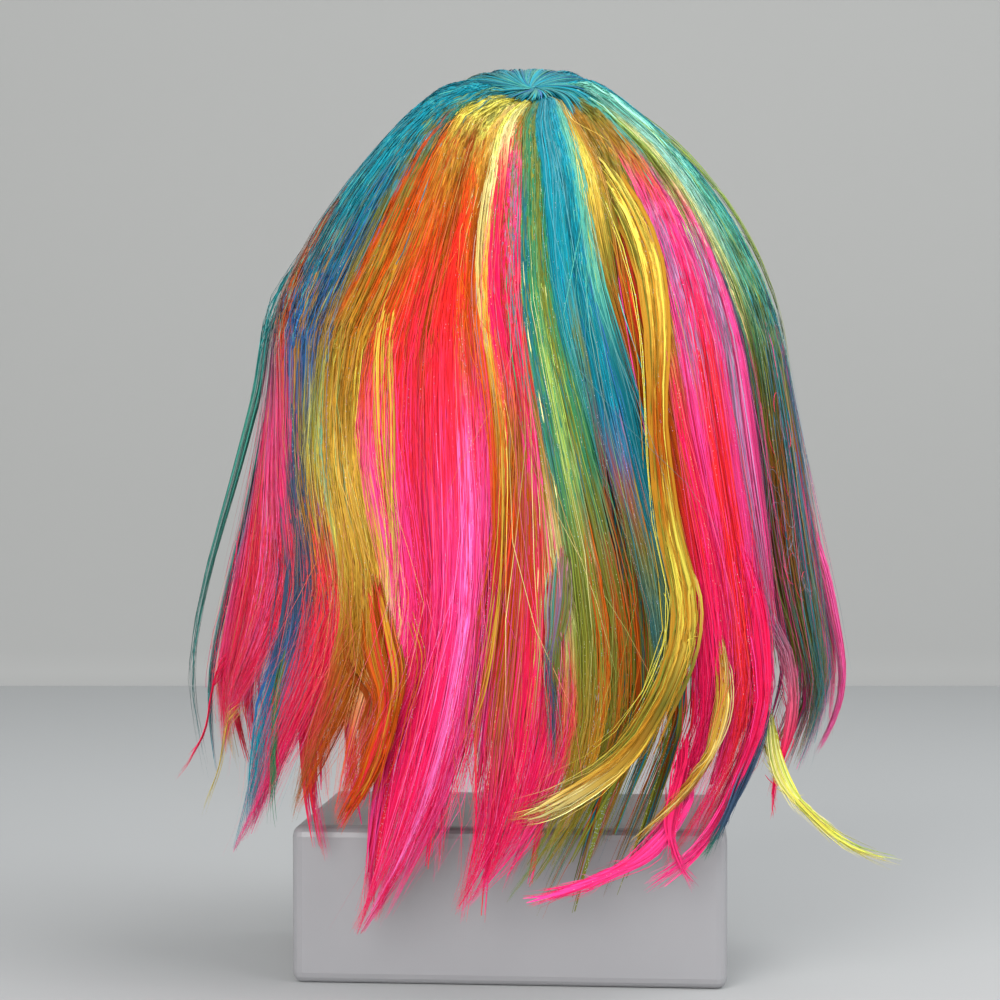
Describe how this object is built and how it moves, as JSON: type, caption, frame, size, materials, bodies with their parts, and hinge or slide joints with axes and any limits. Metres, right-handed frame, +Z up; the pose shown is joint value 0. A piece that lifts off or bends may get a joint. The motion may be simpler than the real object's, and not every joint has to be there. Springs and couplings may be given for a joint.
{
  "type": "cosplay wig on a display box",
  "caption": "Chin-length cosplay wig in pink, teal and yellow locks on a hollow net cap, open below for the head, shown over a plain white box that the part stands on.",
  "frame": {"origin": "centre of the display box's underside", "axes": "+Z up, -Y towards the back of the wig, +Y towards the face opening, +X to the right for someone who looks at the back"},
  "size_m": [0.2607, 0.2217, 0.3449],
  "materials": {
    "hair_pink": "glossy synthetic hair fibre",
    "hair_coral": "glossy synthetic hair fibre",
    "hair_teal": "glossy synthetic hair fibre",
    "hair_yellow": "glossy synthetic hair fibre",
    "hair_cream": "glossy synthetic hair fibre",
    "hair_orange": "glossy synthetic hair fibre",
    "hair_lime": "glossy synthetic hair fibre",
    "hair_lilac": "glossy synthetic hair fibre",
    "hair_blue": "glossy synthetic hair fibre",
    "cap_net": "elastic net",
    "box_plastic": "plain white moulded plastic"
  },
  "bodies": {
    "root": {"wig_cap": "cap_net", "under_hair": "hair_pink", "pink_front_left": "hair_pink", "pink_side_left": "hair_pink", "pink_back": "hair_pink", "pink_right_inner": "hair_pink", "pink_side_right": "hair_pink", "pink_front_right": "hair_pink", "fringe_pink_right": "hair_pink", "pink_strand_right": "hair_pink", "coral_left": "hair_coral", "pink_right_outer": "hair_coral", "fringe_pink_middle": "hair_coral", "pink_arc_hem": "hair_coral", "crown_whorl": "hair_teal", "teal_side_left": "hair_teal", "teal_left": "hair_teal", "teal_centre_left": "hair_teal", "teal_centre_right": "hair_teal", "teal_right": "hair_teal", "teal_side_right": "hair_teal", "fringe_teal_right": "hair_teal", "fringe_teal_left": "hair_teal", "teal_strand_left": "hair_teal", "yellow_side_left": "hair_yellow", "yellow_left": "hair_yellow", "yellow_centre": "hair_yellow", "yellow_side_right": "hair_yellow", "fringe_yellow_right": "hair_yellow", "fringe_yellow_left": "hair_yellow", "yellow_s_lock": "hair_yellow", "yellow_flick_right": "hair_yellow", "cream_left": "hair_cream", "cream_strand_right": "hair_cream", "orange_left": "hair_orange", "orange_lock_left": "hair_orange", "lime_back": "hair_lime", "lime_right": "hair_lime", "lilac_right": "hair_lilac", "blue_strand_back": "hair_blue", "display_box": "box_plastic"}
  },
  "joints": []
}
